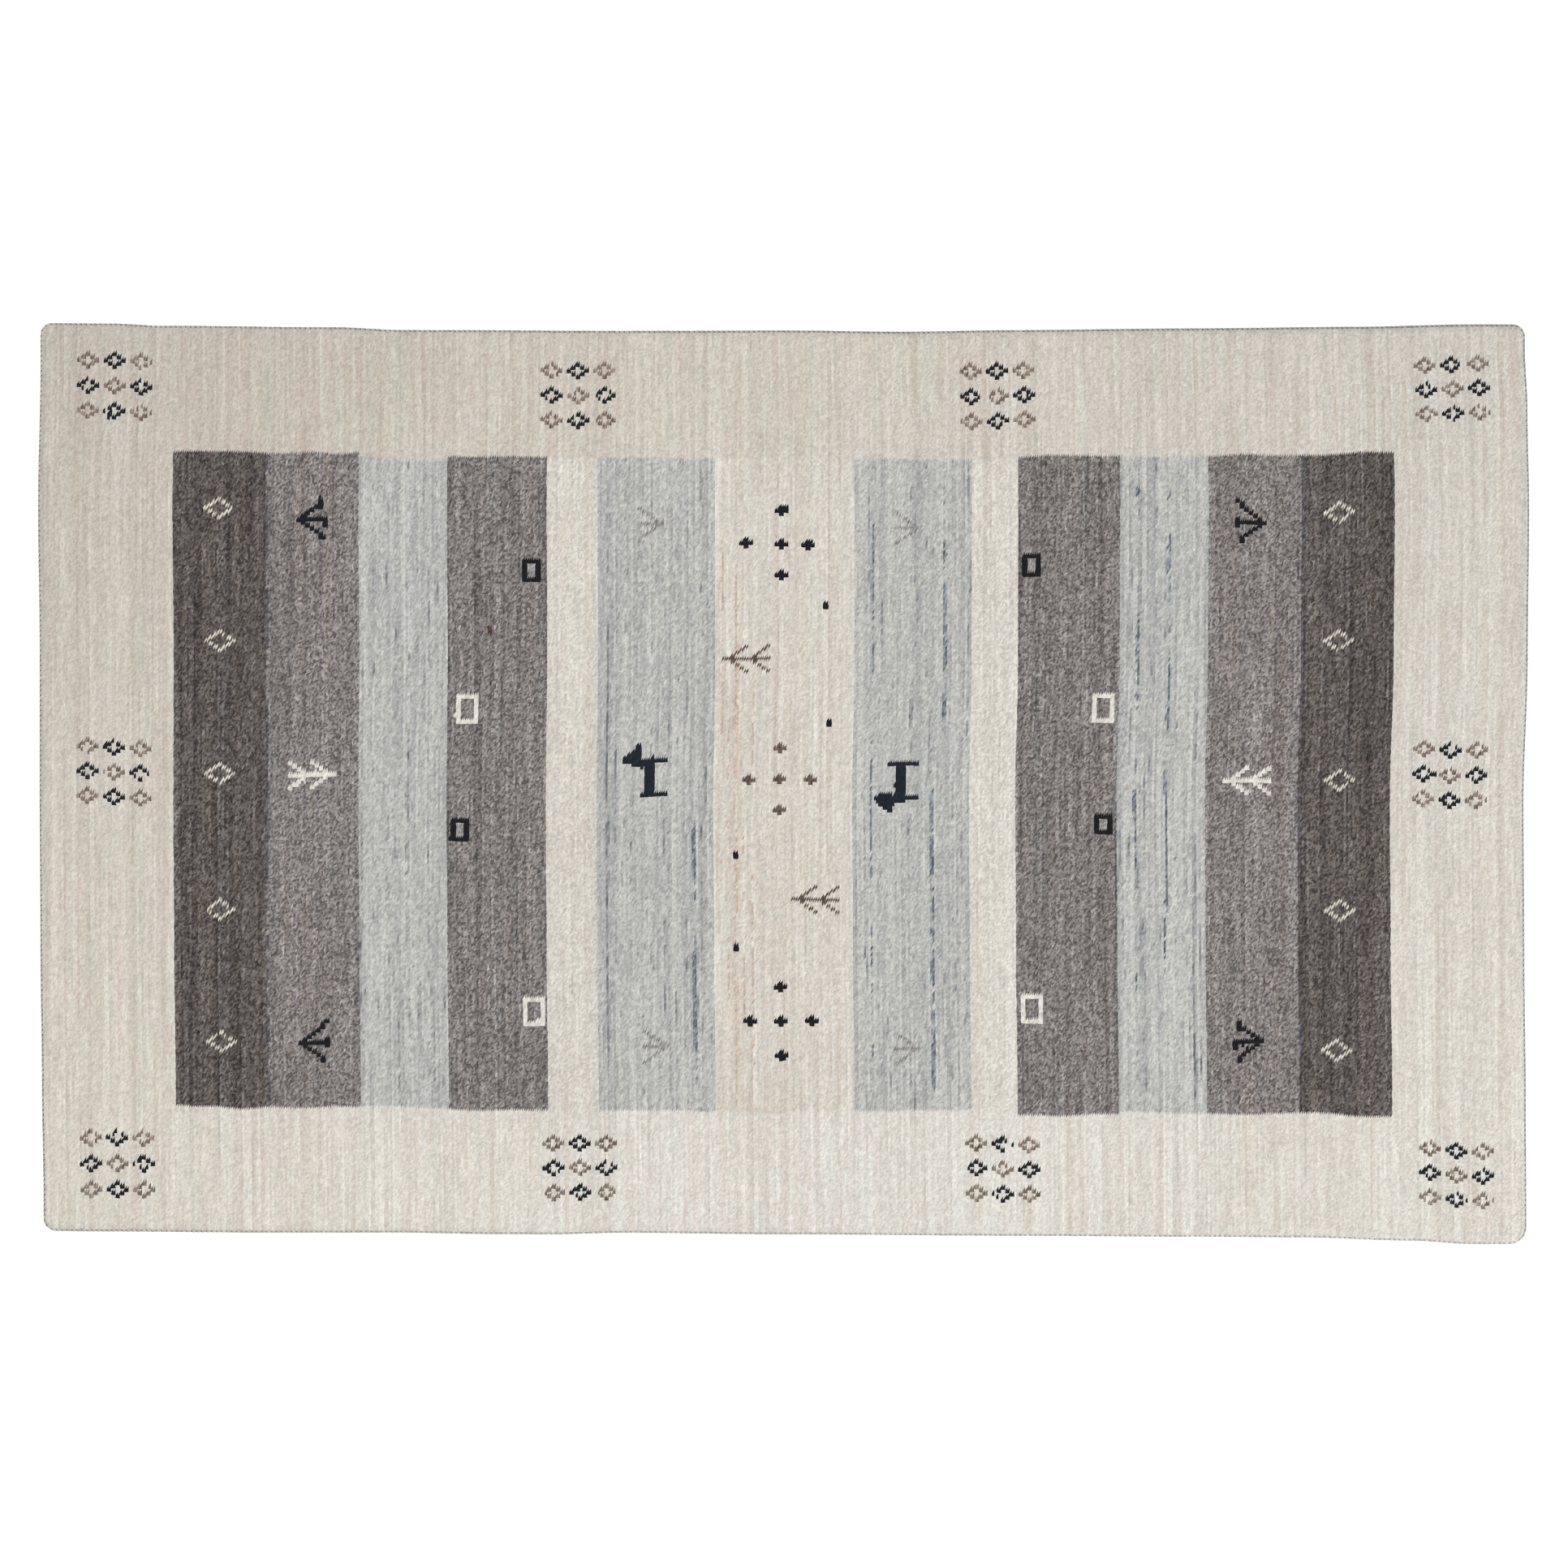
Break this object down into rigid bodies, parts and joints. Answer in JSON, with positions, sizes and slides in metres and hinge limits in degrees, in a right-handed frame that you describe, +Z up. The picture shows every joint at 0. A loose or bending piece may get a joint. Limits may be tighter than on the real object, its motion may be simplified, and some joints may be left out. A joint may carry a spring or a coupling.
{
  "type": "gabbeh rug",
  "caption": "Flat rectangular hand-knotted wool rug with rounded corners, a short dense pile and wool-overcast edges all round.",
  "frame": {"origin": "middle of the rug's footprint, on the floor it lies on", "axes": "+X along the rug's length, +Y along its width, +Z up out of the pile"},
  "size_m": [1.555, 0.9592, 0.0125],
  "materials": {
    "wool_pile": "matt cut wool pile",
    "edge_wool": "matt wrapped wool yarn"
  },
  "bodies": {
    "root": {"pile_and_ground": "wool_pile", "side_cord_front": "edge_wool", "side_cord_back": "edge_wool", "end_cord_left": "edge_wool", "end_cord_right": "edge_wool"}
  },
  "joints": []
}
